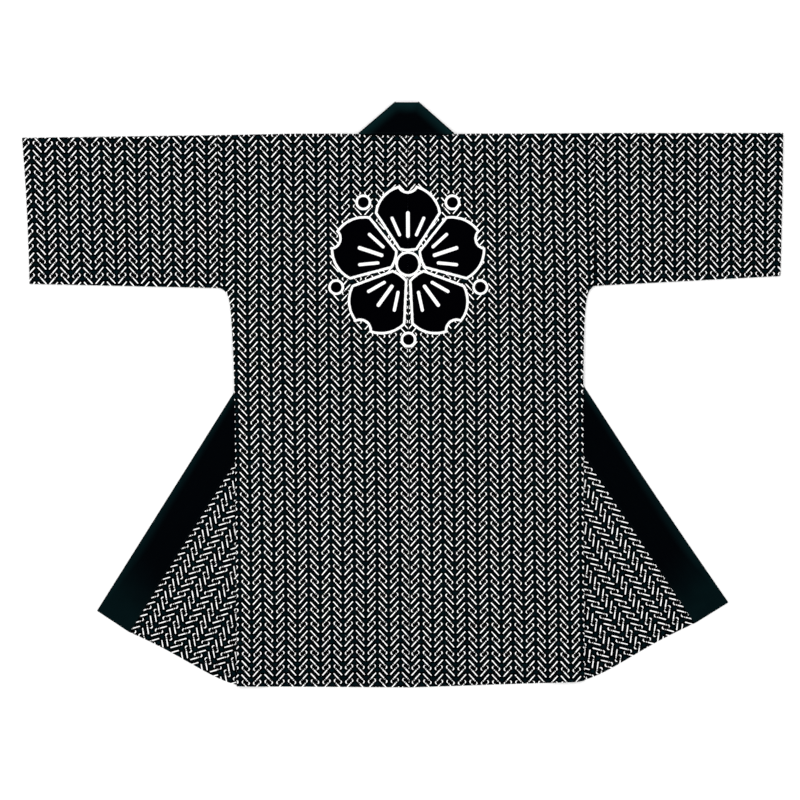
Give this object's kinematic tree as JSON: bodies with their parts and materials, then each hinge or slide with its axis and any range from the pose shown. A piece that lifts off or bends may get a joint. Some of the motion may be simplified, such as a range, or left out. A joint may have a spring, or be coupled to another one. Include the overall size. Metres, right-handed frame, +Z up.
{
  "type": "happi coat",
  "caption": "Short straight cotton festival coat with wide sleeves and a black band collar, laid flat with its back uppermost and its fronts folded outwards beneath.",
  "frame": {"origin": "middle of the coat's bounding box, on the surface that it lies on", "axes": "+X along the sleeves towards the wearer's right, +Y from the hem to the neck, +Z up out of the surface"},
  "size_m": [1.255, 0.9662, 0.0066],
  "materials": {
    "printed_cotton": "matt blue-black plain-weave cotton, printed white",
    "collar_cotton": "black cotton, doubled"
  },
  "bodies": {
    "root": {"body_left": "printed_cotton", "body_right": "printed_cotton", "sleeve_left": "printed_cotton", "sleeve_right": "printed_cotton", "collar": "collar_cotton"}
  },
  "joints": []
}
